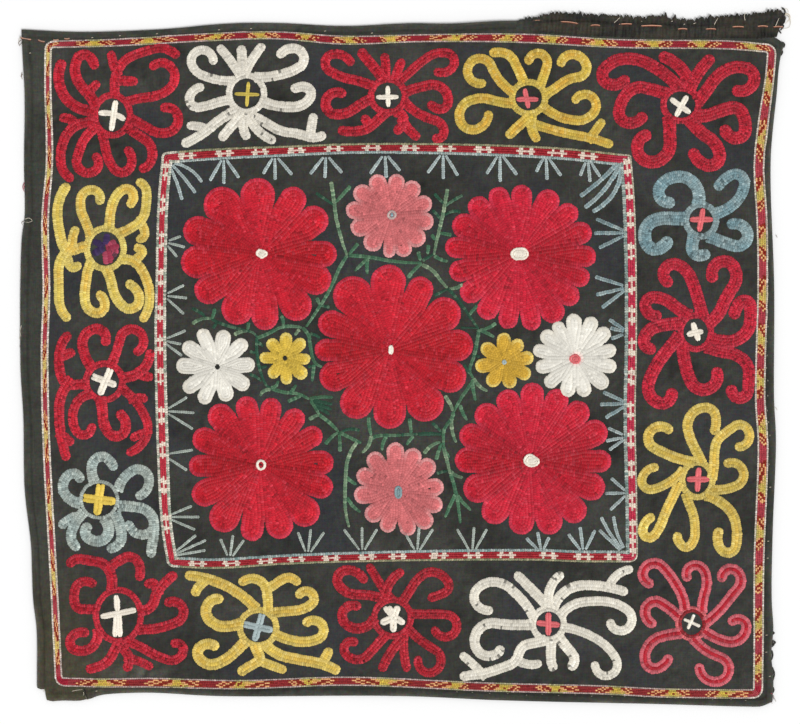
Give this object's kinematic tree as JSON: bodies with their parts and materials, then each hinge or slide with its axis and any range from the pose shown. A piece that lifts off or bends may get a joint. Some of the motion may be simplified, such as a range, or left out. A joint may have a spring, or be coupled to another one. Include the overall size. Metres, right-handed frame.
{
  "type": "chain stitch rug, a small embroidered panel",
  "caption": "Flat square embroidered cloth panel with a narrow hem, two patterned trims sewn on as rings, and a gathered heading strip tacked over part of its top edge.",
  "frame": {"origin": "middle of the panel's underside, on the surface it lies on", "axes": "+Z out of the embroidered face, +Y towards the heading edge, +X to the right when the heading edge is up"},
  "size_m": [0.5738, 0.5228, 0.0043],
  "materials": {
    "ground_cloth": "matt black-green plain weave cotton, faded in patches",
    "outer_trim": "narrow patterned trim in crimson, yellow and orange with a pale edge",
    "inner_trim": "narrow patterned trim in red and cream with a grey-blue edge",
    "heading_strip": "coarse gathered ribbed cloth, nearly black",
    "silk_red": "soft sheen silk thread in chain stitch",
    "silk_pink": "soft sheen silk thread in chain stitch",
    "silk_yellow": "soft sheen silk thread in chain stitch",
    "silk_cream": "soft sheen silk thread in chain stitch",
    "silk_blue_grey": "soft sheen silk thread in chain stitch",
    "silk_green": "soft sheen silk thread in chain stitch",
    "sewing_thread": "matt cotton sewing thread"
  },
  "bodies": {
    "root": {"ground_cloth": "ground_cloth", "outer_trim_band": "outer_trim", "inner_trim_band": "inner_trim", "heading_strip": "heading_strip"}
  },
  "joints": []
}
